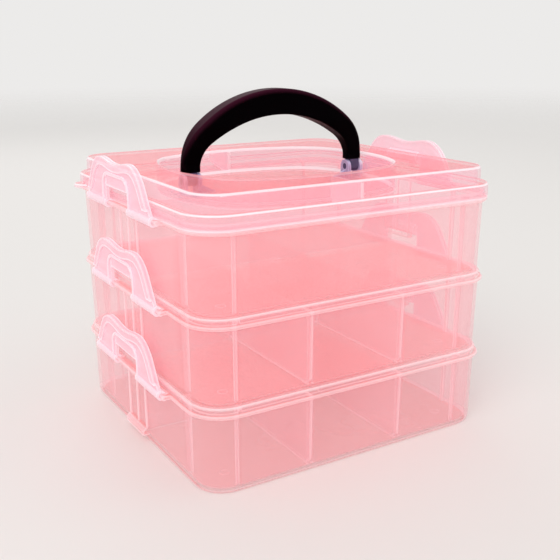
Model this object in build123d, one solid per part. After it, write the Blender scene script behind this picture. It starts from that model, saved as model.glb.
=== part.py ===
from build123d import *
import math
import os

# Three-tier organizer case with lift-off trays, snap latches and a folding handle.
# Millimetres. Origin at the bottom centre, +X to the right, +Y to the back, +Z up.

# Overall outline, taken at the lid's skirt
case_width = 155.0
case_depth = 147.6
case_corner = 16.7
tier_pitch = 37.65
tiers = ["bottom", "middle", "top"]

# Tray shell
tray_inset = 2.0
tray_wall = 1.5
tray_floor = 1.5
wall_draft = 0.8
base_round = 2.5
floor_chamfer = 1.2
flange_level = 35.4
flange_thick = 1.6
flange_reach = 1.8
flange_chamfer = 0.45
lip_rise = 2.7
lip_wall = 1.2
lip_clearance = 0.25
lip_chamfer = 0.4
gate_radius = 2.2
gate_depth = 0.5

# Ribs inside the corners, which carry the tier above
seat_rib_x = 59.0
seat_rib_y = 47.5
seat_rib_thick = 1.6
seat_rib_depth = 3.6
rib_sink = 0.3

# Fixed wall along the middle of each tray, and the loose dividers of the lower trays
divided_tiers = tiers[:2]
centre_wall = 1.4
centre_wall_drop = 1.25
divider_x = 24.1
divider_thick = 1.2
divider_side_gap = 0.15
divider_end_gap = 0.35
divider_top = 35.0
divider_round = 3.0
guide_rib = 0.9
guide_depth = 1.1
guide_top = 33.5

# Catch on each side wall and the ribs above it
catch_low = 4.6
catch_high = 7.9
catch_half_width = 10.5
catch_reach = 0.7
catch_ramp = 1.6
wall_rib_thick = 1.2
wall_rib_reach = 0.7

# Hinge rod of a latch, on lugs that widen the flange
rod_radius = 1.1
rod_offset = 2.3
rod_clearance = 0.08
lug_half_centre = 12.5
lug_end = 2.9
lug_gap = 0.5

# Latch
latch_leg_out = 38.0
latch_height = 20.7
latch_dip = 1.6
latch_hump_y = 16.5
latch_shoulder_y = 25.2
latch_shoulder_drop = 2.9
latch_flank_y = 29.6
latch_flank_drop = 7.5
latch_plate = 1.5
latch_plate_gap = 0.4
clip_wall = 0.95
clip_mouth = 1.8
finger_lip_width = 3.8
finger_lip_thick = 1.0
frame_gap = 1.7
frame_width = 1.3
frame_rise = 0.8
frame_round = 7.0
frame_clearance = 0.25
hook_depth = 2.3
hook_gap = 0.35
hook_rise = 4.2
tongue_slit = 0.8
tongue_slit_rise = 5.0

# Lid
skirt_wall = 1.3
skirt_height = 6.5
lid_wall = 1.4
crown_height = 7.6
crown_inset = 3.3
crown_lean = 0.5
crown_round = 1.2
skirt_chamfer = 0.6
well_side_gap = 4.4
well_half_y = 48.0
well_corner_in_x = 11.0
well_corner_in_y = 10.5
well_corner_round = 24.0
well_depth = 12.1
well_wall = 1.3
rim_round = 1.9
well_floor_chamfer = 1.3
lid_rib = 1.3
tab_radius = 6.0
tab_thick = 2.0
tab_chamfer = 0.5
tab_reach = 4.2
tab_y = 55.5

# Handle and its two hinge posts in the lid's well
handle_half_span = 49.6
handle_leg = 8.8
handle_rise = 36.0
handle_thick = 11.9
handle_outer_bend = 26.0
handle_inner_bend = 13.0
handle_outer_straight = 0.8
handle_inner_straight = 2.0
handle_outer_round = 2.2
handle_inner_round = 0.9
grip_width = 11.0
foot_width = 5.0
grip_full_drop = 16.3
grip_taper = 16.0
grip_taper_round = 12.0
pivot_above_floor = 6.0
post_round = 3.4
shoulder_gap = 0.4
tongue_thick = 5.0
tongue_gap = 0.25
cheek_thick = 1.65
pin_radius = 1.5
pin_clearance = 0.06
gusset_thick = 1.4
gusset_run = 8.5
gusset_drop = 2.0

# Points nearer than this count as touching
touch = 0.01

# Levels and half sizes that follow from the values above
flange_low = flange_level - flange_thick / 2
flange_top = flange_level + flange_thick / 2
lip_top = flange_top + lip_rise
tray_half_x = case_width / 2 - tray_inset
tray_half_y = case_depth / 2 - tray_inset
tray_corner = case_corner - tray_inset
lip_half_x = case_width / 2 - skirt_wall - lip_clearance
lip_half_y = case_depth / 2 - skirt_wall - lip_clearance
lip_corner = case_corner - skirt_wall - lip_clearance
rod_x = tray_half_x + flange_reach + rod_offset
plate_in = rod_x - latch_plate_gap
plate_out = plate_in + latch_plate
catch_out = case_width / 2 + catch_reach
centre_wall_top = tier_pitch - centre_wall_drop
lid_base = 2 * tier_pitch + flange_top
step_level = lid_base + skirt_height
lid_top = step_level + crown_height
crown_half_x = case_width / 2 - crown_inset
crown_half_y = case_depth / 2 - crown_inset
crown_corner = case_corner - crown_inset
well_half_x = handle_half_span + well_side_gap
well_floor = lid_top - well_depth
pivot_level = well_floor + pivot_above_floor
handle_low = pivot_level + post_round + shoulder_gap
handle_top = handle_low + handle_rise
catch_hold = 3 * tier_pitch


def rounded_block(half_x, half_y, corner, low, high, flare=0.0):
    """Block with rounded corners whose sides lean out by flare over its height."""
    outline = Plane.XY.offset(low) * RectangleRounded(2 * half_x, 2 * half_y, corner)
    lean = math.degrees(math.atan2(flare, high - low))
    return extrude(outline, amount=high - low, taper=-lean)


def plain_box(x_low, x_high, y_low, y_high, z_low, z_high):
    """Box between two corners."""
    size = (x_high - x_low, y_high - y_low, z_high - z_low)
    middle = ((x_low + x_high) / 2, (y_low + y_high) / 2, (z_low + z_high) / 2)
    return Pos(*middle) * Box(*size)


def bar_y(points, y_low, y_high):
    """Prism along Y over an outline of X and Z points."""
    outline = Plane.XZ.offset(-y_low) * make_face(Polyline(*points, close=True))
    return extrude(outline, amount=-(y_high - y_low))


def side_plane(at_x, level=0.0):
    """Plane of constant X, drawn on in Y and in height above a level."""
    return Plane(origin=(at_x, 0, level), x_dir=(0, 1, 0), z_dir=(1, 0, 0))


def both_sides(solid):
    """A solid on the right, and its mirror image on the left."""
    return [solid, mirror(solid, about=Plane.YZ)]


def draft_at(height):
    """How far the tray's wall has leaned out at a height above its base."""
    return wall_draft * (height - flange_top) / flange_top


def tray_shell():
    """Tray with a drafted wall, rounded base, flange bead and stacking lip."""
    foot = draft_at(0)
    body = rounded_block(
        tray_half_x + foot, tray_half_y + foot, tray_corner + foot, 0, flange_top, wall_draft)
    body = fillet(body.faces().sort_by(Axis.Z)[0].edges(), base_round)
    floor_out = draft_at(tray_floor) - tray_wall
    cavity = rounded_block(
        tray_half_x + floor_out, tray_half_y + floor_out, tray_corner + floor_out,
        tray_floor, flange_top, -draft_at(tray_floor))
    cavity = chamfer(cavity.faces().sort_by(Axis.Z)[0].edges(), floor_chamfer)
    flange = rounded_block(
        tray_half_x + flange_reach, tray_half_y + flange_reach, tray_corner + flange_reach,
        flange_low, flange_top)
    flange = chamfer(flange.edges().filter_by(Plane.XY), flange_chamfer)
    lip = rounded_block(lip_half_x, lip_half_y, lip_corner, flange_top, lip_top)
    lip = chamfer(lip.faces().sort_by(Axis.Z)[-1].edges(), lip_chamfer)
    lip_bore = rounded_block(
        lip_half_x - lip_wall, lip_half_y - lip_wall, lip_corner - lip_wall,
        flange_top, lip_top + lip_rise)
    return body + flange + lip - cavity - lip_bore


def wall_middle(half, height):
    """Distance from the centre to the middle of a drafted wall at a height."""
    return half - tray_wall / 2 + draft_at(height)


def rib_outline(inner, half, top):
    """Reach and height of a rib whose outer edge climbs inside its wall."""
    low = tray_floor - rib_sink
    shoulder = min(top, flange_low)
    points = [(inner, low), (wall_middle(half, low), low),
              (wall_middle(half, shoulder), shoulder)]
    if top > shoulder:
        points += [(half - tray_wall, shoulder), (half - tray_wall, top)]
    return points + [(inner, top)]


def fin(points, along, thick, turn):
    """Upright slab over an outline of reach and height, turned to face its wall."""
    outline = Plane.XZ.offset(-along) * make_face(Polyline(*points, close=True))
    return Rot(0, 0, turn) * extrude(outline, amount=thick / 2, both=True)


def seat_ribs():
    """Eight upright ribs inside the corners, two to a corner."""
    ribs = []
    for turn, half, along in ((0, tray_half_x, seat_rib_y), (90, tray_half_y, seat_rib_x)):
        points = rib_outline(half - tray_wall - seat_rib_depth, half, tier_pitch)
        for side in (-1, 1):
            ribs.append(fin(points, side * along, seat_rib_thick, turn))
            ribs.append(fin(points, side * along, seat_rib_thick, turn + 180))
    return ribs


def long_wall():
    """The fixed lengthwise wall, in two halves."""
    along_wall = rib_outline(0, tray_half_x, centre_wall_top)
    return [fin(along_wall, 0, centre_wall, turn) for turn in (0, 180)]


def divider_guides():
    """Rib pairs on the walls that guide the dividers."""
    guides = []
    wall_face = tray_half_y - tray_wall - wall_draft
    outer = rib_outline(wall_face - guide_depth, tray_half_y, guide_top)
    low = tray_floor - rib_sink
    inner = [(centre_wall / 4, low), (centre_wall / 2 + guide_depth, low),
             (centre_wall / 2 + guide_depth, guide_top), (centre_wall / 4, guide_top)]
    off_centre = divider_thick / 2 + divider_side_gap + guide_rib / 2
    for along in (divider_x - off_centre, divider_x + off_centre):
        for side in (-1, 1):
            for turn in (90, -90):
                guides.append(fin(outer, side * along, guide_rib, turn))
                guides.append(fin(inner, side * along, guide_rib, turn))
    return guides


def catch_block(base, root, low):
    """Catch with a ramped top that a latch's hook draws down on."""
    top = base + catch_high
    profile = [
        (root, low),
        (catch_out - catch_ramp, low),
        (catch_out, max(low, base + catch_low)),
        (catch_out, top - catch_ramp),
        (catch_out - catch_ramp, top),
        (root, top),
    ]
    return bar_y(profile, -catch_half_width, catch_half_width)


def side_fittings():
    """Catch, wall ribs, hinge lugs and hinge rod on the right side of a tray."""
    wall = wall_middle(tray_half_x, flange_low / 2)
    pieces = [catch_block(0, wall, catch_low)]
    rib = wall_rib_thick / 2
    rib_out = tray_half_x + wall_rib_reach
    for at_y in (-catch_half_width + rib, 0, catch_half_width - rib):
        pieces.append(plain_box(wall, rib_out, at_y - rib, at_y + rib, catch_high, flange_low))
    lug_far = latch_leg_out + lug_gap + lug_end
    lugs = [(-lug_far, -lug_far + lug_end), (-lug_half_centre, lug_half_centre),
            (lug_far - lug_end, lug_far)]
    for y_low, y_high in lugs:
        pieces.append(plain_box(wall, rod_x, y_low, y_high, flange_low, flange_top))
    rod = Pos(rod_x, 0, flange_level) * Rot(90, 0, 0) * Cylinder(rod_radius, 2 * lug_far)
    pieces.append(rod)
    return pieces


def tray(fittings):
    """A tray with its ribs, long wall, side fittings and the fittings given."""
    for piece in side_fittings():
        fittings = fittings + both_sides(piece)
    solid = tray_shell().fuse(*seat_ribs(), *long_wall(), *fittings)
    return solid - Cylinder(gate_radius, 2 * gate_depth)


def latch_outline():
    """Flat face of a latch: two humps with a dip between them, and sloping flanks."""
    top = latch_height
    dip = TangentArc((0, top - latch_dip), (latch_hump_y / 2, top - latch_dip / 2), tangent=(1, 0))
    rise = TangentArc(dip @ 1, (latch_hump_y, top), tangent=dip % 1)
    crest_end = (latch_shoulder_y, top - latch_shoulder_drop)
    crest = TangentArc(rise @ 1, crest_end, tangent=rise % 1)
    shoulder_end = (latch_flank_y, top - latch_flank_drop)
    shoulder = TangentArc(crest @ 1, shoulder_end, tangent=crest % 1)
    flank = Line(shoulder @ 1, (latch_leg_out, 0))
    right = [dip, rise, crest, shoulder, flank]
    left = [mirror(edge, about=Plane.YZ) for edge in right]
    foot = Line((-latch_leg_out, 0), (latch_leg_out, 0))
    return make_face(right + left + [foot])


def latch_frame(hook_low):
    """Flat face of the raised rib that frames the window and the tongue."""
    half = lug_half_centre + lug_gap + frame_gap + frame_width
    top = hook_low + tongue_slit_rise + frame_clearance + frame_width
    outer = RectangleRounded(2 * half, 2 * top, frame_round)
    inner = RectangleRounded(
        2 * (half - frame_width), 2 * (top - frame_width), frame_round - frame_width)
    return (outer - inner) & Pos(0, top) * Rectangle(3 * half, 2 * top)


def latch_plate_solid(hook_low):
    """Plate with its window, slit tongue, raised frame and thickened finger lip."""
    outline = latch_outline()
    window_half = lug_half_centre + lug_gap
    window = Pos(0, hook_low / 2) * Rectangle(2 * window_half, hook_low)
    slits = []
    for side in (-1, 1):
        middle = (side * (window_half - tongue_slit / 2), hook_low + tongue_slit_rise / 2)
        slits.append(Pos(*middle) * Rectangle(tongue_slit, tongue_slit_rise))
    face = outline - window - slits[0] - slits[1]
    plate = extrude(side_plane(plate_in, flange_level) * face, amount=latch_plate)
    inner = offset(outline, amount=-finger_lip_width)
    above = Pos(0, latch_height) * Rectangle(3 * latch_leg_out, 2 * latch_height - hook_low)
    band = (outline - inner) & above
    outside = side_plane(plate_out, flange_level)
    plate += extrude(outside * band, amount=finger_lip_thick)
    return plate + extrude(outside * latch_frame(hook_low), amount=frame_rise)


def latch_clip(y_low, y_high):
    """Leg's clip, a ring round the hinge rod with a mouth towards the tray."""
    bore = rod_radius + rod_clearance
    ring = Circle(bore + clip_wall) - Circle(bore)
    mouth = Pos(-rod_radius - clip_wall, 0) * Rectangle(2 * (rod_radius + clip_wall), clip_mouth)
    section = Plane(origin=(rod_x, y_low, flange_level), x_dir=(1, 0, 0), z_dir=(0, 1, 0))
    return extrude(section * (ring - mouth), amount=y_high - y_low)


def latch():
    """Right-hand latch on the flange of the lowest tray."""
    hook_low = tier_pitch - flange_level + catch_high - catch_ramp
    hook_low += hook_gap * math.sqrt(2) - (plate_in - catch_out)
    solid = latch_plate_solid(hook_low)
    bore = rod_radius + rod_clearance
    inner_y = lug_half_centre + lug_gap
    for side in (-1, 1):
        ends = sorted((side * inner_y, side * latch_leg_out))
        solid += latch_clip(*ends)
        hole = Pos(rod_x, side * (inner_y + latch_leg_out) / 2, flange_level)
        solid -= hole * Rot(90, 0, 0) * Cylinder(bore, 3 * latch_leg_out)
    tip = plate_in - hook_depth
    root_level = flange_level + hook_low
    hook = [
        (plate_in + latch_plate / 2, root_level - latch_plate / 2),
        (tip, root_level + hook_depth),
        (tip, root_level + hook_depth + hook_rise / 2),
        (plate_in, root_level + hook_depth + hook_rise),
        (plate_in + latch_plate / 2, root_level + hook_depth + hook_rise),
    ]
    half = inner_y - tongue_slit - lug_gap
    hook_bar = bar_y(hook, -half, half)
    keep = plain_box(tip - 1, plate_out, -half, half, root_level, root_level + 4 * hook_depth)
    return solid + (hook_bar & keep)


def divider(base, at_x, side):
    """Loose divider between the fixed wall and the front or back wall."""
    near = centre_wall / 2 + divider_end_gap
    far_low = tray_half_y - tray_wall + draft_at(tray_floor) - divider_end_gap
    far_high = tray_half_y - tray_wall + draft_at(divider_top) - divider_end_gap
    corners = [
        (side * near, tray_floor),
        (side * (far_low - divider_round), tray_floor),
        (side * far_low, tray_floor + divider_round),
        (side * far_high, divider_top),
        (side * near, divider_top),
    ]
    face = make_face(Polyline(*corners, close=True))
    return extrude(side_plane(at_x - divider_thick / 2, base) * face, amount=divider_thick)


def well_outline(shrink=0.0):
    """Oval of the lid's well: four shallow arcs with rounded corners."""
    half_x = well_half_x - shrink
    half_y = well_half_y - shrink
    corner = (half_x - well_corner_in_x, half_y - well_corner_in_y)
    points = [(corner[0], corner[1]), (-corner[0], corner[1]),
              (-corner[0], -corner[1]), (corner[0], -corner[1])]
    middles = [(0, half_y), (-half_x, 0), (0, -half_y), (half_x, 0)]
    arcs = []
    for index, middle in enumerate(middles):
        arcs.append(ThreePointArc(points[index], middle, points[(index + 1) % 4]))
    face = make_face(arcs)
    return fillet(face.vertices(), well_corner_round - shrink)


def well_block(grow, low, high):
    """Upright plug with the well's outline."""
    return extrude(Plane.XY.offset(low) * well_outline(-grow), amount=high - low)


def lid_shell():
    """Skirt, step, crown and sunk well of the lid."""
    skirt = rounded_block(case_width / 2, case_depth / 2, case_corner, lid_base, step_level)
    skirt = chamfer(skirt.faces().sort_by(Axis.Z)[-1].edges(), skirt_chamfer)
    crown = rounded_block(crown_half_x, crown_half_y, crown_corner, lid_base, lid_top, -crown_lean)
    crown = fillet(crown.faces().sort_by(Axis.Z)[-1].edges(), crown_round)
    skirt_bore = rounded_block(
        case_width / 2 - skirt_wall, case_depth / 2 - skirt_wall, case_corner - skirt_wall,
        lid_base, step_level - lid_wall)
    crown_bore = rounded_block(
        crown_half_x - lid_wall, crown_half_y - lid_wall, crown_corner - lid_wall,
        lid_base, lid_top - lid_wall, -crown_lean)
    shell = skirt + crown - skirt_bore - crown_bore
    shell += well_block(well_wall, well_floor - well_wall, lid_top - lid_wall / 2)
    plug = well_block(0, well_floor, lid_top)
    plug = chamfer(plug.faces().sort_by(Axis.Z)[0].edges(), well_floor_chamfer)
    shell -= plug
    rim = shell.edges().filter_by_position(Axis.Z, lid_top - touch, lid_top + touch)
    inner_rim = [edge for edge in rim if abs(edge.center().X) < well_half_x + 1
                 and abs(edge.center().Y) < well_half_y + 1]
    return fillet(inner_rim, rim_round)


def lid_ribs():
    """Ribs under the lid's top, from the well to the front and back walls."""
    ribs = []
    wall = crown_half_y - lid_wall / 2
    well = well_half_y + well_wall / 2
    for side in (-1, 1):
        corners = [(side * wall, step_level - lid_wall), (side * wall, lid_top - lid_wall / 2),
                   (side * well, lid_top - lid_wall / 2),
                   (side * well, well_floor - well_wall / 2)]
        face = make_face(Polyline(*corners, close=True))
        ribs.append(extrude(side_plane(-lid_rib / 2) * face, amount=lid_rib))
    return ribs


def hinge_posts():
    """Two cheeks, their pin holes and a gusset, on the right end of the well."""
    leg_middle = handle_half_span - handle_leg / 2
    gap_half = tongue_thick / 2 + tongue_gap
    pieces = []
    for x_low in (leg_middle - gap_half - cheek_thick, leg_middle + gap_half):
        upright = Pos(0, (pivot_level + well_floor - well_wall / 2) / 2) * Rectangle(
            2 * post_round, pivot_level - well_floor + well_wall / 2)
        face = upright + Pos(0, pivot_level) * Circle(post_round)
        face -= Pos(0, pivot_level) * Circle(pin_radius + pin_clearance)
        pieces.append(extrude(side_plane(x_low) * face, amount=cheek_thick))
    foot_x = leg_middle - gap_half - cheek_thick
    gusset = [(foot_x + cheek_thick / 2, well_floor - well_wall / 2),
              (foot_x + cheek_thick / 2, pivot_level - gusset_drop),
              (foot_x, pivot_level - gusset_drop),
              (foot_x - gusset_run, well_floor), (foot_x - gusset_run, well_floor - well_wall / 2)]
    pieces.append(bar_y(gusset, -gusset_thick / 2, gusset_thick / 2))
    return pieces


def thumb_tab():
    """Rounded tab on the skirt, near the back left corner, for lifting the lid."""
    middle = -case_width / 2 - tab_reach + tab_radius
    disc = Pos(middle, tab_y, lid_base + tab_thick / 2) * Cylinder(tab_radius, tab_thick)
    disc = chamfer(disc.edges().filter_by(GeomType.CIRCLE), tab_chamfer)
    keep = plain_box(-case_width, -case_width / 2 + skirt_wall / 2, 0, case_depth,
                     lid_base, lid_top)
    return disc & keep


def lid():
    """The whole lid, with what its handle and latches hold on to."""
    fittings = []
    wall = crown_half_x - lid_wall / 2 - crown_lean
    catch = catch_block(catch_hold, wall, step_level - lid_wall / 2)
    for piece in [catch] + hinge_posts():
        fittings += both_sides(piece)
    return lid_shell().fuse(*lid_ribs(), *fittings, thumb_tab())


def arch_outline(half_span, low, straight, top, bend):
    """Flat face under an arch: straight feet, then a shoulder arc, then a wider arc on top."""
    across = half_span - bend
    climb = top - low - straight
    radius = (across ** 2 + climb ** 2 - bend ** 2) / (2 * (climb - bend))
    shoulder = low + straight
    lean = math.atan2(shoulder - top + radius, across)
    join = (across + bend * math.cos(lean), shoulder + bend * math.sin(lean))
    half_lean = lean / 2
    middle = (across + bend * math.cos(half_lean), shoulder + bend * math.sin(half_lean))
    right = [Line((half_span, low), (half_span, shoulder)),
             ThreePointArc((half_span, shoulder), middle, join)]
    left = [mirror(edge, about=Plane.YZ) for edge in right]
    crown = ThreePointArc(join, (0, top), (-join[0], join[1]))
    foot = Line((-half_span, low), (half_span, low))
    return make_face(right + left + [crown, foot])


def rim_edges(solid, outline):
    """Long edges of the arch that lie over an outline's rim, above the feet."""
    rim = outline.face().outer_wire()
    picked = []
    for edge in solid.edges():
        middle = edge @ 0.5
        on_rim = rim.distance_to(Vertex(middle.X, middle.Z, 0)) < touch
        if on_rim and middle.Z > handle_low + touch and abs(middle.Y) > foot_width / 2 - touch:
            picked.append(edge)
    return picked


def handle_arch():
    """Arch of the handle, rounded along its long edges and narrow at its feet."""
    below = handle_low - 1
    outer = arch_outline(
        handle_half_span, handle_low, handle_outer_straight, handle_top, handle_outer_bend)
    inner = arch_outline(
        handle_half_span - handle_leg, below, handle_inner_straight + 1,
        handle_top - handle_thick, handle_inner_bend)
    arch = extrude(Plane.XZ * (outer - inner), amount=grip_width / 2, both=True)
    half_foot = foot_width / 2
    half_grip = grip_width / 2
    grip_low = handle_top - grip_full_drop
    foot_high = grip_low - grip_taper
    width = make_face(Polyline(
        (-half_foot, below), (half_foot, below), (half_foot, foot_high),
        (half_grip, grip_low), (half_grip, handle_top + 1),
        (-half_grip, handle_top + 1), (-half_grip, grip_low),
        (-half_foot, foot_high), close=True))
    soft = width.vertices().filter_by_position(Axis.Y, foot_high - 1, grip_low + 1)
    width = fillet(soft, grip_taper_round)
    arch &= extrude(side_plane(-case_width / 2) * width, amount=case_width)
    arch = fillet(rim_edges(arch, outer), handle_outer_round)
    return fillet(rim_edges(arch, inner), handle_inner_round)


def handle():
    """Arch, a tongue under each foot and the pins that turn in the posts."""
    solid = handle_arch()
    leg_middle = handle_half_span - handle_leg / 2
    half_foot = foot_width / 2
    blade = Pos(0, (pivot_level + handle_low + 1) / 2) * Rectangle(
        foot_width, handle_low + 1 - pivot_level)
    blade += Pos(0, pivot_level) * Circle(half_foot)
    tongue = extrude(side_plane(leg_middle - tongue_thick / 2) * blade, amount=tongue_thick)
    length = tongue_thick + 2 * tongue_gap + 2 * cheek_thick
    pin = Pos(leg_middle, 0, pivot_level) * Rot(0, 90, 0) * Cylinder(pin_radius, length)
    return solid.fuse(*both_sides(tongue), *both_sides(pin))


def build_all():
    """Every sub-part by name."""
    parts = {"lid": lid(), "handle": handle()}
    open_tray = tray([])
    divided_tray = tray(divider_guides())
    one_latch = latch()
    for level, name in enumerate(tiers):
        base = level * tier_pitch
        kind = divided_tray if name in divided_tiers else open_tray
        parts["tray_" + name] = Pos(0, 0, base) * kind
        right = Pos(0, 0, base) * one_latch
        parts["latch_" + name + "_right"] = right
        parts["latch_" + name + "_left"] = mirror(right, about=Plane.YZ)
    for level, name in enumerate(divided_tiers):
        base = level * tier_pitch
        for row, side in (("front", -1), ("back", 1)):
            for column, at_x in (("left", -divider_x), ("right", divider_x)):
                parts["divider_" + name + "_" + row + "_" + column] = divider(base, at_x, side)
    return parts


os.makedirs("parts", exist_ok=True)
for node, solid in build_all().items():
    export_step(solid, "parts/" + node + ".step")
    print(node, round(solid.volume), "cubic mm")
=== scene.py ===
# %% [markdown]
# # A three-tier organizer case
# The real case is a stack of clear trays, moulded in a milky plastic that lets most of the light through.
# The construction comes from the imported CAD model. This script gives it its surfaces, floor and light.

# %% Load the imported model
import math

import bmesh
import bpy
from mathutils import Matrix, Vector


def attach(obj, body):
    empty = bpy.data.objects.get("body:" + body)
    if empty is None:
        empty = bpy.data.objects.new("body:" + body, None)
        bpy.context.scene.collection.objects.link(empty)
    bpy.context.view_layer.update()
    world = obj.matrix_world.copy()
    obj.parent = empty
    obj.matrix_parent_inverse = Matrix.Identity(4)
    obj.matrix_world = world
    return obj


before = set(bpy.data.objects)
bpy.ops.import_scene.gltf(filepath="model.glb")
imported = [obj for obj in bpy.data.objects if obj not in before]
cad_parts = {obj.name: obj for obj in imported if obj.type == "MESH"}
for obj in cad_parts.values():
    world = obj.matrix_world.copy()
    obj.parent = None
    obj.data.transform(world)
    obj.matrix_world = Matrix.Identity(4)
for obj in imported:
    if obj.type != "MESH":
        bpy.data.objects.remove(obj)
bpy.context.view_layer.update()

# %% [markdown]
# ## Camera
# The photograph was taken from the front left, a little above the lid. Its camera was solved from the
# straight edges of the case, so a model of the right size falls on the same pixels. Blender wants the
# focal length in millimetres on a sensor 36 mm wide. That is the length in pixels times 36 over the
# picture's width.

# %% Camera
PICTURE = 560
FOCAL_PIXELS = 829.58
SENSOR = 36.0
AZIMUTH = math.radians(-31.01)
ELEVATION = math.radians(15.996)
ROLL = math.radians(-0.19)
DISTANCE = 0.41548
AIM_RIGHT = 0.00203
AIM_HEIGHT = 0.065495
NEAREST = 0.01


def photo_camera():
    """Places the camera by the angles above and makes it the scene's own."""
    back = Vector((math.sin(AZIMUTH) * math.cos(ELEVATION),
                   -math.cos(AZIMUTH) * math.cos(ELEVATION),
                   math.sin(ELEVATION)))
    level_right = Vector((0, 0, 1)).cross(back).normalized()
    level_up = back.cross(level_right)
    right = level_right * math.cos(ROLL) + level_up * math.sin(ROLL)
    up = level_up * math.cos(ROLL) - level_right * math.sin(ROLL)
    place = right * AIM_RIGHT + Vector((0, 0, AIM_HEIGHT)) + back * DISTANCE
    data = bpy.data.cameras.new("photo_camera")
    data.sensor_width = SENSOR
    data.lens = FOCAL_PIXELS * SENSOR / PICTURE
    data.clip_start = NEAREST
    camera = bpy.data.objects.new("photo_camera", data)
    bpy.context.scene.collection.objects.link(camera)
    turn = Matrix((right, up, back)).transposed().to_4x4()
    camera.matrix_world = Matrix.Translation(place) @ turn
    bpy.context.scene.camera = camera
    return camera


camera = photo_camera()
print("camera at", tuple(round(v, 4) for v in camera.location), "lens", round(camera.data.lens, 2))

# %% [markdown]
# ## Node helpers
# A material is a small network of nodes. Written out in full, every node takes several lines, so three
# helpers keep the networks short: one adds a node and sets its sockets, one does sums, and one mixes two
# colours.

# %% Node helpers


def add_node(tree, kind, **sockets):
    """Adds a shader node and sets its inputs by name."""
    node = tree.nodes.new(kind)
    for name, value in sockets.items():
        node.inputs[name.replace("_", " ")].default_value = value
    return node


def math_node(tree, operation, first, second=0.0, clamp=False):
    """Adds a Math node; each operand is a number or an output socket."""
    node = tree.nodes.new("ShaderNodeMath")
    node.operation = operation
    node.use_clamp = clamp
    for index, value in enumerate((first, second)):
        if isinstance(value, bpy.types.NodeSocket):
            tree.links.new(value, node.inputs[index])
        else:
            node.inputs[index].default_value = value
    return node.outputs[0]


def mix_colour(tree, share, first, second):
    """Adds a colour Mix; share is a socket, and each colour a socket or four numbers."""
    node = tree.nodes.new("ShaderNodeMix")
    node.data_type = "RGBA"
    tree.links.new(share, node.inputs["Factor"])
    for name, value in (("A", first), ("B", second)):
        socket = [s for s in node.inputs if s.name == name and s.type == "RGBA"][0]
        if isinstance(value, bpy.types.NodeSocket):
            tree.links.new(value, socket)
        else:
            socket.default_value = value
    return [s for s in node.outputs if s.type == "RGBA"][0]


# %% [markdown]
# ## Places in a material
# Several finishes on this case change with the place on it, such as the ribs and the hinge posts. Object
# coordinates are in metres from the middle of the case's underside, the same frame as the CAD model, and
# they move with a piece. The height and width in them can be set against the sizes of the real moulding.

# %% Helpers for places and normals


def object_place(tree):
    """The point on the piece, in metres."""
    return tree.nodes.new("ShaderNodeTexCoord").outputs["Object"]


def surface_normal(tree):
    """The direction that the surface faces."""
    return tree.nodes.new("ShaderNodeNewGeometry").outputs["Normal"]


def split_xyz(tree, vector):
    """The three parts of a vector, as sockets named X, Y and Z."""
    split = tree.nodes.new("ShaderNodeSeparateXYZ")
    tree.links.new(vector, split.inputs[0])
    return split.outputs


# %% [markdown]
# ## Group helpers
# An effect that several materials share is a node group, built once. Its inputs are the numbers that a
# material may want to change, and its outputs are masks.

# %% Group helpers


def new_group(name, inputs, outputs):
    """Starts a shader node group with named number inputs and outputs."""
    group = bpy.data.node_groups.new(name, "ShaderNodeTree")
    for label, value in inputs.items():
        socket = group.interface.new_socket(label, in_out="INPUT", socket_type="NodeSocketFloat")
        socket.default_value = value
    for label in outputs:
        group.interface.new_socket(label, in_out="OUTPUT", socket_type="NodeSocketFloat")
    start = group.nodes.new("NodeGroupInput")
    end = group.nodes.new("NodeGroupOutput")
    return group, start, end


def place_group(tree, group, **values):
    """Puts a group into a material with its own values."""
    node = tree.nodes.new("ShaderNodeGroup")
    node.node_tree = group
    for name, value in values.items():
        node.inputs[name.replace("_", " ")].default_value = value
    return node


# %% [markdown]
# ## Bright edges
# Light that enters a clear sheet runs along inside it and comes out at its rims and ribs, so the real
# case is drawn in pale lines. Here those lines are a painted highlight: where the mask is high, the colour
# is made paler and the milk denser. An Ambient Occlusion node can find those places. It is turned round,
# so
# that its rays go into the plastic: under a broad wall they meet nothing within a millimetre, but near a
# rim or inside a thin rib they soon come out of the other side. A Bevel node would light the hollow
# corners as well, and those stay dull.

# %% Group: edge light
EDGE_REACH = 0.0011
EDGE_GAIN = 2.2
EDGE_RAYS = 3


def edge_light_group():
    """Mask that is 1 where the plastic ends within Reach metres and 0 under a broad wall."""
    inputs = {"Back": 0.0, "Reach": EDGE_REACH, "Gain": EDGE_GAIN}
    group, start, end = new_group("edge_light", inputs, ["Edge"])
    turn = math_node(group, "SUBTRACT", math_node(group, "MULTIPLY", start.outputs["Back"], 2.0), 1.0)
    inward = group.nodes.new("ShaderNodeVectorMath")
    inward.operation = "SCALE"
    group.links.new(surface_normal(group), inward.inputs[0])
    group.links.new(turn, inward.inputs["Scale"])
    depth = group.nodes.new("ShaderNodeAmbientOcclusion")
    depth.samples = EDGE_RAYS
    depth.only_local = True
    group.links.new(inward.outputs["Vector"], depth.inputs["Normal"])
    group.links.new(start.outputs["Reach"], depth.inputs["Distance"])
    near = math_node(group, "SUBTRACT", 1.0, depth.outputs["AO"])
    scaled = math_node(group, "MULTIPLY", near, start.outputs["Gain"], clamp=True)
    group.links.new(scaled, end.inputs["Edge"])
    return group


EDGE_LIGHT = edge_light_group()
print("edge light looks", EDGE_REACH * 1000, "mm into the plastic")

# %% [markdown]
# ## Rounded rims and level faces
# The rounded rim of the lid and the bead under each tray catch the light over their whole width, and
# that highlight is painted into their colour. Their faces lean between upright and level, so a mask of the
# normal's height picks them out. The same number tells the level faces, the floors and the lid's top, from
# the upright walls, and those two differ in colour by a painted shade.

# %% Group: rounded light
LEANS_FROM, LEANS_TO = 0.10, 0.35
LEVEL_FROM, LEVEL_TO = 0.88, 0.98


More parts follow.
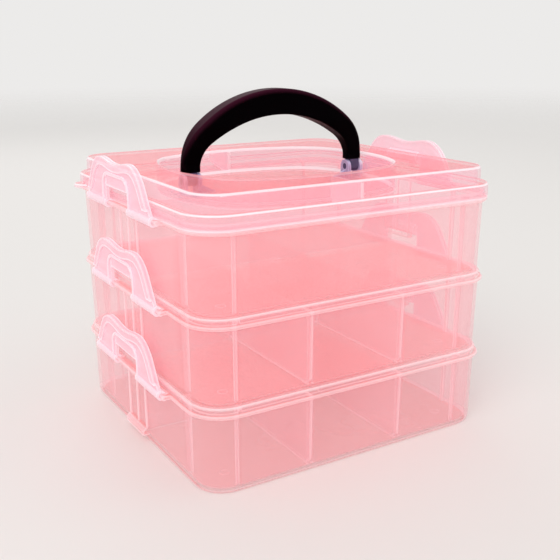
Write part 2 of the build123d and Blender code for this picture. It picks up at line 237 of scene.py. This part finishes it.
def rounded_light_group():
    """Masks of the rounded rims between upright and level faces, and of the level faces."""
    group, start, end = new_group("rounded_light", {"Strength": 1.0}, ["Round", "Level"])
    tilt = math_node(group, "ABSOLUTE", split_xyz(group, surface_normal(group))["Z"])
    leans = add_node(group, "ShaderNodeMapRange", From_Min=LEANS_FROM, From_Max=LEANS_TO)
    level = add_node(group, "ShaderNodeMapRange", From_Min=LEVEL_FROM, From_Max=LEVEL_TO)
    for step in (leans, level):
        group.links.new(tilt, step.inputs["Value"])
    not_level = math_node(group, "SUBTRACT", 1.0, level.outputs[0])
    between = math_node(group, "MULTIPLY", leans.outputs[0], not_level)
    rounded = math_node(group, "MULTIPLY", between, start.outputs["Strength"])
    group.links.new(rounded, end.inputs["Round"])
    group.links.new(level.outputs[0], end.inputs["Level"])
    return group


ROUNDED_LIGHT = rounded_light_group()
print("faces count as level within", round(math.degrees(math.acos(LEVEL_TO))), "degrees of flat")

# %% [markdown]
# ## Moulding haze
# The plastic isn't equally milky everywhere. The melt leaves broad faint clouds where it flowed, and the
# mould's face leaves a fine grain. Two noise textures at very different scales give both.

# %% Group: moulding haze
CLOUD_SCALE, CLOUD_DETAIL = 22.0, 3.0
GRAIN_SCALE, GRAIN_DETAIL = 1500.0, 2.0
HAZE_ROUGHNESS = 0.55


def moulding_haze_group():
    """Broad clouds and fine grain, each about 0 to 1."""
    inputs = {"Cloud Scale": CLOUD_SCALE, "Grain Scale": GRAIN_SCALE}
    group, start, end = new_group("moulding_haze", inputs, ["Cloud", "Grain"])
    place = object_place(group)
    for label, detail in (("Cloud", CLOUD_DETAIL), ("Grain", GRAIN_DETAIL)):
        noise = add_node(group, "ShaderNodeTexNoise", Detail=detail, Roughness=HAZE_ROUGHNESS)
        group.links.new(place, noise.inputs["Vector"])
        group.links.new(start.outputs[label + " Scale"], noise.inputs["Scale"])
        group.links.new(noise.outputs["Fac"], end.inputs[label])
    return group


MOULDING_HAZE = moulding_haze_group()
print("clouds about", round(1000 / CLOUD_SCALE), "mm across, grain", round(1000 / GRAIN_SCALE, 2), "mm")

# %% [markdown]
# ## Shade at the hinge posts
# Behind the two cheeks of each hinge post stands the black tongue of the handle. Milky plastic in front
# of something black turns bluish, as the sky does, because only the scattered light is left. A mask
# around the posts paints that shade into the lid's colour there, as a painted shade with denser milk: the
# distance to the middle of a post, measured in post sizes. The first step takes the left post for the
# right one, so one mask serves both.

# %% Mask of the hinge posts
POST_MIDDLE = (0.0420, 0.0, 0.1172)
POST_REACH = (0.0125, 0.0058, 0.0080)
POST_FULL, POST_GONE = 0.75, 1.15


def hinge_shade(tree):
    """Mask of the painted shade: 1 at the hinge posts of the lid, fading out around them."""
    place = object_place(tree)
    for operation, value in (("ABSOLUTE", None), ("SUBTRACT", POST_MIDDLE), ("DIVIDE", POST_REACH)):
        step = tree.nodes.new("ShaderNodeVectorMath")
        step.operation = operation
        tree.links.new(place, step.inputs[0])
        if value:
            step.inputs[1].default_value = value
        place = step.outputs["Vector"]
    length = tree.nodes.new("ShaderNodeVectorMath")
    length.operation = "LENGTH"
    tree.links.new(place, length.inputs[0])
    fade = add_node(tree, "ShaderNodeMapRange", From_Min=POST_FULL, From_Max=POST_GONE,
                    To_Min=1.0, To_Max=0.0)
    tree.links.new(length.outputs["Value"], fade.inputs["Value"])
    return fade.outputs[0]


print("hinge posts at", POST_MIDDLE[0] * 1000, "mm to each side")

# %% [markdown]
# ## Guide ribs
# Two low ribs hold the end of each divider against the wall. On the real trays they run out softly into
# the wall and hardly light up, while the rim above them does, so most of the painted edge highlight is
# taken off them. The mask finds them by their place: their distance from the divider's plane, and their
# height above the floor of their own tray.

# %% Mask of the guide ribs
PITCH = 0.03765
DIVIDER_X = 0.0241
GUIDE_HALF = 0.0019
GUIDE_LOW = 0.0026
GUIDE_TOP = 0.0336


def guide_ribs(tree):
    """Mask that is 1 at the guide ribs of the trays."""
    place = split_xyz(tree, object_place(tree))
    sideways = math_node(tree, "SUBTRACT", math_node(tree, "ABSOLUTE", place["X"]), DIVIDER_X)
    near = math_node(tree, "LESS_THAN", math_node(tree, "ABSOLUTE", sideways), GUIDE_HALF)
    height = math_node(tree, "MODULO", place["Z"], PITCH)
    below = math_node(tree, "MULTIPLY", near, math_node(tree, "LESS_THAN", height, GUIDE_TOP))
    return math_node(tree, "MULTIPLY", below, math_node(tree, "GREATER_THAN", height, GUIDE_LOW))


print("tiers", round(PITCH * 1000, 2), "mm apart, dividers", round(DIVIDER_X * 1000, 1), "mm to each side")

# %% [markdown]
# ## Ribs under the lid
# One rib in front and one behind stiffen the lid between its well and its outer wall. Light runs along
# each rib and shows as a pale upright line where the rib meets a wall, though the wall itself is smooth
# there. That line is a painted highlight, so this mask too goes by place: a thin slice at the middle of
# the lid, outside the well.

# %% Mask of the lid's ribs
LID_RIB_HALF = 0.0008
WELL_WALL = 0.0478
CROWN_WALL = 0.0712
UNDER_LID_TOP = 0.1243


def lid_ribs(tree):
    """Mask of the painted highlight: 1 in the slice where the lid's two ribs stand."""
    place = split_xyz(tree, object_place(tree))
    out = math_node(tree, "ABSOLUTE", place["Y"])
    mask = math_node(tree, "LESS_THAN", math_node(tree, "ABSOLUTE", place["X"]), LID_RIB_HALF)
    for operation, value, limit in (("GREATER_THAN", out, WELL_WALL),
                                    ("LESS_THAN", out, CROWN_WALL),
                                    ("LESS_THAN", place["Z"], UNDER_LID_TOP)):
        mask = math_node(tree, "MULTIPLY", mask, math_node(tree, operation, value, limit))
    return mask


print("each lid rib is", round((CROWN_WALL - WELL_WALL) * 1000, 1), "mm long")

# %% [markdown]
# ## Colours of the plastic
# The milk in the plastic scatters pink. On level faces it is painted deeper, a painted shade for the light
# that has gone down through the stack, and at edges it is painted nearly white, a painted highlight. So
# each kind of piece has three colours, in the order upright faces, level faces, edges: its own colour and
# the two painted ones. What passes straight through is tinted very little, because several sheets lie
# behind one another and each adds its own tint.

# %% Colours of the plastic
THROUGH = (1.0, 0.948, 0.955, 1)
TRAY_MILK_AND_PAINTED_LIGHT = ((1.0, 0.71, 0.75, 1), (1.0, 0.37, 0.36, 1), (1.0, 0.86, 0.89, 1))
LID_MILK_AND_PAINTED_LIGHT = ((1.0, 0.68, 0.80, 1), (1.0, 0.22, 0.24, 1), (1.0, 0.93, 0.97, 1))
LATCH_MILK_AND_PAINTED_LIGHT = ((1.0, 0.70, 0.80, 1), (1.0, 0.70, 0.80, 1), (1.0, 0.90, 0.95, 1))
DIVIDER_MILK_AND_PAINTED_LIGHT = ((1.0, 0.64, 0.69, 1), (1.0, 0.64, 0.69, 1), (1.0, 0.86, 0.89, 1))
# The hinge colour is a painted shade, for the black tongue seen through the milk.
HINGE_PAINTED_SHADE = (0.44, 0.38, 0.58, 1)
print("one sheet passes", round(THROUGH[1] * 100), "percent of the green light")

# %% [markdown]
# ## Where the plastic is paler
# Two things make a spot paler and denser: an edge or rounded rim that glows, which is a painted
# highlight, and a slant, because a line of sight that grazes a sheet passes through more of it. The Layer
# Weight node gives the slant. The masks of the ribs and the hinge posts are then worked into the colour,
# a painted highlight at the ribs and a painted shade at the posts, each with the share that it adds to
# the milk.

# %% Milk of the plastic
SLANT_BLEND = 0.15
SLANT_PALE = 0.15
GUIDE_CALM = 0.8
LID_RIB_PALE = 0.7
LID_RIB_SHARE = 0.3
POST_SHARE = 0.42


def glow_mask(tree, faces, tray):
    """Mask of the painted highlight: edges and rounded rims, and on a tray not the guide ribs."""
    edge = place_group(tree, EDGE_LIGHT)
    back = tree.nodes.new("ShaderNodeNewGeometry").outputs["Backfacing"]
    tree.links.new(back, edge.inputs["Back"])
    glow = math_node(tree, "MAXIMUM", edge.outputs["Edge"], faces.outputs["Round"])
    if tray:
        dulled = math_node(tree, "MULTIPLY", guide_ribs(tree), GUIDE_CALM)
        glow = math_node(tree, "MULTIPLY", glow, math_node(tree, "SUBTRACT", 1.0, dulled))
    return glow


def milk_colour(tree, colours, level, glow, slant, lid):
    """The scattered colour with painted shade and highlights, and the lid's own masks with each one's
    share of milk.
    """
    upright, flat, edge = colours
    colour = mix_colour(tree, level, upright, flat)
    pale = math_node(tree, "ADD", glow, math_node(tree, "MULTIPLY", slant, SLANT_PALE), clamp=True)
    if not lid:
        return mix_colour(tree, pale, colour, edge), []
    ribs = lid_ribs(tree)
    pale = math_node(tree, "MAXIMUM", pale, math_node(tree, "MULTIPLY", ribs, LID_RIB_PALE))
    shade = hinge_shade(tree)
    colour = mix_colour(tree, shade, mix_colour(tree, pale, colour, edge), HINGE_PAINTED_SHADE)
    return colour, [(ribs, LID_RIB_SHARE), (shade, POST_SHARE)]


print("milk added at the lid's ribs", LID_RIB_SHARE, "and at its hinge posts", POST_SHARE)

# %% [markdown]
# ## Surface of the plastic
# The mould was lightly polished, so the plastic has a soft gloss with a fine grain in it. The haze group
# gives both the change in roughness and the bump. The bump is only strong enough to break up a highlight.

# %% Surface of the plastic
ROUGHNESS = 0.28
GRAIN_SPREAD = 0.16
GRAIN_STRENGTH = 0.03
GRAIN_DEPTH = 0.0001


def moulded_surface(tree, shader, haze):
    """Feeds the fine grain into the shader's roughness and normal."""
    grain = math_node(tree, "MULTIPLY", haze.outputs["Grain"], GRAIN_SPREAD)
    rough = math_node(tree, "ADD", grain, ROUGHNESS - GRAIN_SPREAD / 2)
    tree.links.new(rough, shader.inputs["Roughness"])
    bump = add_node(tree, "ShaderNodeBump", Strength=GRAIN_STRENGTH, Distance=GRAIN_DEPTH)
    tree.links.new(haze.outputs["Grain"], bump.inputs["Height"])
    tree.links.new(bump.outputs["Normal"], shader.inputs["Normal"])


print("roughness", ROUGHNESS, "give or take", GRAIN_SPREAD / 2)

# %% [markdown]
# ## Clear milky plastic
# The wall of a tray shows what is behind it, only paler and pinker. A Transparent shader lets that light
# straight through with a slight tint, so each sheet on the way adds a little pink, and the case throws a
# pink shadow. A Principled shader over it is the milk, with a little painted glow: an emission in the
# milk's colour that stands in for the light that runs about inside the plastic. The share between the two
# rises with the masks above. Glass with a volume would bend the view and need far more light paths, and
# walls as thin as these hardly bend it.

# %% Material: clear plastic
PLASTIC_IOR = 1.49
INNER_GLOW = 0.10
CLOUD_MIDDLE = 0.5
CLOUD_SHARE = 0.12


def clear_plastic(name, milk, colours, level_share=0.12, edge_share=0.45, slant_share=0.3, rounds=0.45,
                  lid=False, tray=False):
    """Milky see-through plastic; milk is the share of a wall that scatters, and the others add to it."""
    material = bpy.data.materials.new(name)
    material.use_nodes = True
    tree = material.node_tree
    shader = tree.nodes["Principled BSDF"]
    shader.inputs["IOR"].default_value = PLASTIC_IOR
    shader.inputs["Emission Strength"].default_value = INNER_GLOW
    faces = place_group(tree, ROUNDED_LIGHT, Strength=rounds)
    haze = place_group(tree, MOULDING_HAZE)
    level = faces.outputs["Level"]
    glow = glow_mask(tree, faces, tray)
    slant = add_node(tree, "ShaderNodeLayerWeight", Blend=SLANT_BLEND).outputs["Facing"]
    cloud = math_node(tree, "SUBTRACT", haze.outputs["Cloud"], CLOUD_MIDDLE)
    colour, extra = milk_colour(tree, colours, level, glow, slant, lid)
    parts = [(slant, slant_share), (glow, edge_share), (cloud, CLOUD_SHARE), (level, level_share)]
    share = milk
    for mask, part in parts + extra:
        share = math_node(tree, "ADD", math_node(tree, "MULTIPLY", mask, part), share, clamp=True)
    tree.links.new(colour, shader.inputs["Base Color"])
    tree.links.new(colour, shader.inputs["Emission Color"])
    moulded_surface(tree, shader, haze)
    straight = add_node(tree, "ShaderNodeBsdfTransparent", Color=THROUGH)
    blend = tree.nodes.new("ShaderNodeMixShader")
    tree.links.new(share, blend.inputs["Fac"])
    tree.links.new(straight.outputs[0], blend.inputs[1])
    tree.links.new(shader.outputs[0], blend.inputs[2])
    tree.links.new(blend.outputs[0], tree.nodes["Material Output"].inputs["Surface"])
    return material


# %% [markdown]
# ## One plastic, five finishes
# All clear pieces are moulded in the same plastic, but they differ in thickness and polish. The trays are
# thin and clear. The lid has wide rims with a strong painted highlight and a smooth top. The latches are
# the milkiest pieces, and the dividers lie in between. The ejector marks are hardly raised and need only a
# faint painted edge highlight.

# %% Finishes of the clear pieces
CLEAR = {
    "tray": clear_plastic("clear_tray", 0.15, TRAY_MILK_AND_PAINTED_LIGHT, tray=True),
    "lid": clear_plastic("clear_lid", 0.14, LID_MILK_AND_PAINTED_LIGHT, level_share=0.08, edge_share=0.6,
                         slant_share=0.16, rounds=0.9, lid=True),
    "latch": clear_plastic("clear_latch", 0.40, LATCH_MILK_AND_PAINTED_LIGHT, edge_share=0.32, rounds=0.0),
    "divider": clear_plastic("clear_divider", 0.2, DIVIDER_MILK_AND_PAINTED_LIGHT, rounds=0.0),
    "mark": clear_plastic("clear_mark", 0.15, TRAY_MILK_AND_PAINTED_LIGHT, edge_share=0.12, rounds=0.0),
}
for kind, finish in CLEAR.items():
    print(kind, "finish has", len(finish.node_tree.nodes), "nodes")

# %% [markdown]
# ## Black handle
# The handle is the one opaque piece: a dense black plastic with a soft sheen along its rounded back and
# almost no grain. That sheen is partly its own gloss and partly a painted sheen: its sides stay black, and
# only what faces the sky is painted a very dark red. Its tongues stand low in the lid's hinge posts,
# behind milky plastic, and are painted a little paler, a painted haze for the light that the milk scatters
# there.

# %% Material: black handle
HANDLE_SHINE = 0.015
HANDLE_SHINE_COLOUR = (0.85, 0.5, 0.72, 1)
HANDLE_SIDE = (0.0006, 0.0004, 0.0006, 1)
HANDLE_PAINTED_SHEEN = (0.045, 0.006, 0.018, 1)
HANDLE_ROUGHNESS = 0.3
HANDLE_CLOUDS = 0.16
HANDLE_CLOUD_SCALE = 60.0
HANDLE_GRAIN = 0.08
HANDLE_GRAIN_SCALE = 2200.0
# The tongue colour is a painted haze, for the light that the milk of the hinge posts scatters in front.
TONGUE_PAINTED_HAZE = (0.09, 0.08, 0.15, 1)
TONGUE_TOP = 0.1233
TONGUE_FADE = 0.0004


def handle_colour(tree):
    """Black at the sides, a painted dark red sheen where it faces the sky, and a painted paler haze at the
    tongues.
    """
    skyward = math_node(tree, "MAXIMUM", split_xyz(tree, surface_normal(tree))["Z"], 0.0)
    colour = mix_colour(tree, skyward, HANDLE_SIDE, HANDLE_PAINTED_SHEEN)
    tongue = add_node(tree, "ShaderNodeMapRange", From_Min=TONGUE_TOP - TONGUE_FADE, From_Max=TONGUE_TOP,
                      To_Min=1.0, To_Max=0.0)
    tree.links.new(split_xyz(tree, object_place(tree))["Z"], tongue.inputs["Value"])
    return mix_colour(tree, tongue.outputs[0], colour, TONGUE_PAINTED_HAZE)


def black_handle():
    """Satin black plastic with a faint moulded grain."""
    material = bpy.data.materials.new("black_handle")
    material.use_nodes = True
    tree = material.node_tree
    shader = tree.nodes["Principled BSDF"]
    shader.inputs["Specular IOR Level"].default_value = HANDLE_SHINE
    shader.inputs["Specular Tint"].default_value = HANDLE_SHINE_COLOUR
    tree.links.new(handle_colour(tree), shader.inputs["Base Color"])
    haze = place_group(tree, MOULDING_HAZE, Cloud_Scale=HANDLE_CLOUD_SCALE, Grain_Scale=HANDLE_GRAIN_SCALE)
    rough = math_node(tree, "MULTIPLY", haze.outputs["Cloud"], HANDLE_CLOUDS)
    tree.links.new(math_node(tree, "ADD", rough, HANDLE_ROUGHNESS), shader.inputs["Roughness"])
    bump = add_node(tree, "ShaderNodeBump", Strength=HANDLE_GRAIN, Distance=GRAIN_DEPTH)
    tree.links.new(haze.outputs["Grain"], bump.inputs["Height"])
    tree.links.new(bump.outputs["Normal"], shader.inputs["Normal"])
    return material


BLACK = black_handle()
print("handle finish has", len(BLACK.node_tree.nodes), "nodes")

# %% [markdown]
# ## Finish the CAD pieces
# Every node of the CAD model keeps its mesh and gets its finish. The first word of a node's name says
# what kind of piece it is, so the nineteen pieces need only five finishes. Each material stands in slot 0
# of its mesh.

# %% Give each CAD node its finish
for name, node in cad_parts.items():
    kind = name.split("_")[0]
    finish = BLACK if kind == "handle" else CLEAR[kind]
    node.data.materials.clear()
    node.data.materials.append(finish)
print(len(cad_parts), "CAD nodes have their finish")

# %% [markdown]
# ## Ejector marks
# When a tray leaves its mould, pins push on its floor and each leaves a faint ring. They stand near the
# four corners. They could be a bump in the material, but real geometry catches the light from every side.
# A ring is a small circle turned once about the pin's axis, so a spin makes it, and the four of a tray
# share one mesh.

# %% Ejector marks on the tray floors
FLOOR_LEVEL = 0.0015
MARK_X = 0.0592
MARK_Y = 0.0553
MARK_RADIUS = 0.0021
MARK_WIRE = 0.00016
MARK_SIDES = 8
MARK_STEPS = 40


def spin_ring(shape, middle):
    """Adds one ring: a small upright circle, turned once about the upright line through middle."""
    stand = Matrix.Rotation(math.pi / 2, 4, "X")
    place = Matrix.Translation(middle + Vector((MARK_RADIUS, 0, 0)))
    profile = bmesh.ops.create_circle(shape, segments=MARK_SIDES, radius=MARK_WIRE, matrix=place @ stand)
    loop = list({edge for vert in profile["verts"] for edge in vert.link_edges})
    bmesh.ops.spin(shape, geom=profile["verts"] + loop, cent=middle, axis=(0, 0, 1),
                   angle=2 * math.pi, steps=MARK_STEPS, use_merge=True)


def ejector_marks(tray, level):
    """Four low rings on the floor of a tray."""
    shape = bmesh.new()
    for side_x in (-1, 1):
        for side_y in (-1, 1):
            spin_ring(shape, Vector((side_x * MARK_X, side_y * MARK_Y, level)))
    bmesh.ops.remove_doubles(shape, verts=shape.verts, dist=1e-7)
    bmesh.ops.recalc_face_normals(shape, faces=shape.faces)
    for face in shape.faces:
        face.smooth = True
    mesh = bpy.data.meshes.new("ejector_marks_" + tray)
    shape.to_mesh(mesh)
    shape.free()
    mesh.materials.append(CLEAR["mark"])
    piece = bpy.data.objects.new("ejector_marks_" + tray, mesh)
    bpy.context.scene.collection.objects.link(piece)
    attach(piece, "tray_" + tray)
    return piece


for step, tray in enumerate(("bottom", "middle", "top")):
    marks = ejector_marks(tray, step * PITCH + FLOOR_LEVEL)
    print(marks.name, len(marks.data.polygons), "faces")

# %% [markdown]
# ## Floor
# The case stands on a plain pale floor that shows its pink shadow. A floor this wide still ends somewhere,
# and its far edge would draw a line across the picture. So it fades out softly with the distance from the
# case, and the backdrop takes over. It is only a stage and not part of the case.

# %% Floor
FLOOR_COLOUR = (0.82, 0.80, 0.78, 1)
FLOOR_ROUGHNESS = 0.6
FLOOR_HALF = 6.0
FADE_START, FADE_END = 0.5, 3.5


def floor_material():
    """Pale matt floor that turns see-through far from the case."""
    material = bpy.data.materials.new("studio_floor")
    material.use_nodes = True
    tree = material.node_tree
    shader = tree.nodes["Principled BSDF"]
    shader.inputs["Base Color"].default_value = FLOOR_COLOUR
    shader.inputs["Roughness"].default_value = FLOOR_ROUGHNESS
    reach = tree.nodes.new("ShaderNodeVectorMath")
    reach.operation = "LENGTH"
    tree.links.new(object_place(tree), reach.inputs[0])
    fade = add_node(tree, "ShaderNodeMapRange", From_Min=FADE_START, From_Max=FADE_END,
                    To_Min=1.0, To_Max=0.0)
    fade.interpolation_type = "SMOOTHSTEP"
    tree.links.new(reach.outputs["Value"], fade.inputs["Value"])
    tree.links.new(fade.outputs[0], shader.inputs["Alpha"])
    return material


def studio_floor():
    """Wide pale floor under the case."""
    shape = bmesh.new()
    bmesh.ops.create_grid(shape, x_segments=1, y_segments=1, size=FLOOR_HALF)
    mesh = bpy.data.meshes.new("studio_floor")
    shape.to_mesh(mesh)
    shape.free()
    mesh.materials.append(floor_material())
    floor = bpy.data.objects.new("studio_floor", mesh)
    bpy.context.scene.collection.objects.link(floor)
    return floor


floor = studio_floor()
print("floor", floor.dimensions.x, "m wide, fading from", FADE_START, "to", FADE_END, "m")

# %% [markdown]
# ## Lamps
# Soft studio light comes from large lamps. A sun with a very wide disc lights the whole floor alike.
# Three square lamps give the case its shading: the key lamp on the camera's side, a weaker one on the
# right, and one from behind that makes the rims shine.

# %% Lamps
SUN_TURN = (math.radians(42), math.radians(-20), math.radians(-30))
SUN_STRENGTH = 1.1
SUN_DISC = math.radians(50)
AIM = (0, 0, 0.07)
LAMPS = {
    "key": {"place": (-0.55, -0.75, 0.95), "size": 0.7, "power": 2.2},
    "fill": {"place": (0.9, -0.5, 0.6), "size": 0.9, "power": 1.2},
    "back": {"place": (0.2, 1.0, 0.8), "size": 0.8, "power": 1.6},
}


def soft_lamp(name, place, size, power):
    """Square area lamp that faces the middle of the case."""
    data = bpy.data.lights.new(name, "AREA")
    data.shape = "SQUARE"
    data.size = size
    data.energy = power
    lamp = bpy.data.objects.new(name, data)
    bpy.context.scene.collection.objects.link(lamp)
    lamp.location = place
    lamp.rotation_euler = (Vector(AIM) - Vector(place)).to_track_quat("-Z", "Y").to_euler()
    return lamp


def daylight(name):
    """Sun lamp with a wide disc, which lights the whole floor alike."""
    data = bpy.data.lights.new(name, "SUN")
    data.energy = SUN_STRENGTH
    data.angle = SUN_DISC
    lamp = bpy.data.objects.new(name, data)
    bpy.context.scene.collection.objects.link(lamp)
    lamp.rotation_euler = SUN_TURN
    return lamp


daylight("daylight")
for name, values in LAMPS.items():
    lamp = soft_lamp(name, **values)
    print(name, "lamp", round((lamp.location - Vector(AIM)).length, 2), "m away")

# %% [markdown]
# ## World
# Even light from all round fills the shadows. Where the camera looks past the floor it sees a plain pale
# backdrop instead, which Light Path's Is Camera Ray picks out, so the backdrop adds no light to the case.

# %% World
AMBIENT_COLOUR = (1, 0.99, 0.98, 1)
AMBIENT_STRENGTH = 0.62
BACKDROP = (0.84, 0.83, 0.82, 1)


def studio_world():
    """Even light from all round, and a plain backdrop for the camera."""
    world = bpy.data.worlds.new("studio")
    world.use_nodes = True
    tree = world.node_tree
    light = tree.nodes["Background"]
    light.inputs["Color"].default_value = AMBIENT_COLOUR
    light.inputs["Strength"].default_value = AMBIENT_STRENGTH
    seen = add_node(tree, "ShaderNodeBackground", Color=BACKDROP, Strength=1.0)
    path = tree.nodes.new("ShaderNodeLightPath")
    mix = tree.nodes.new("ShaderNodeMixShader")
    tree.links.new(path.outputs["Is Camera Ray"], mix.inputs["Fac"])
    tree.links.new(light.outputs["Background"], mix.inputs[1])
    tree.links.new(seen.outputs["Background"], mix.inputs[2])
    tree.links.new(mix.outputs["Shader"], tree.nodes["World Output"].inputs["Surface"])
    bpy.context.scene.world = world
    return world


world = studio_world()
print("world", world.name, "with ambient light", AMBIENT_STRENGTH)

# %% [markdown]
# ## View and light paths
# The Standard view shows a colour about as it is written. A line of sight through the three trays crosses
# many clear faces, two for every wall, so the limit on see-through bounces is raised until none of them
# turns black.

# %% View and light paths
SHEETS = 48
scene = bpy.context.scene
scene.view_settings.view_transform = "Standard"
scene.cycles.transparent_max_bounces = SHEETS
print("a ray may pass", SHEETS, "clear faces")
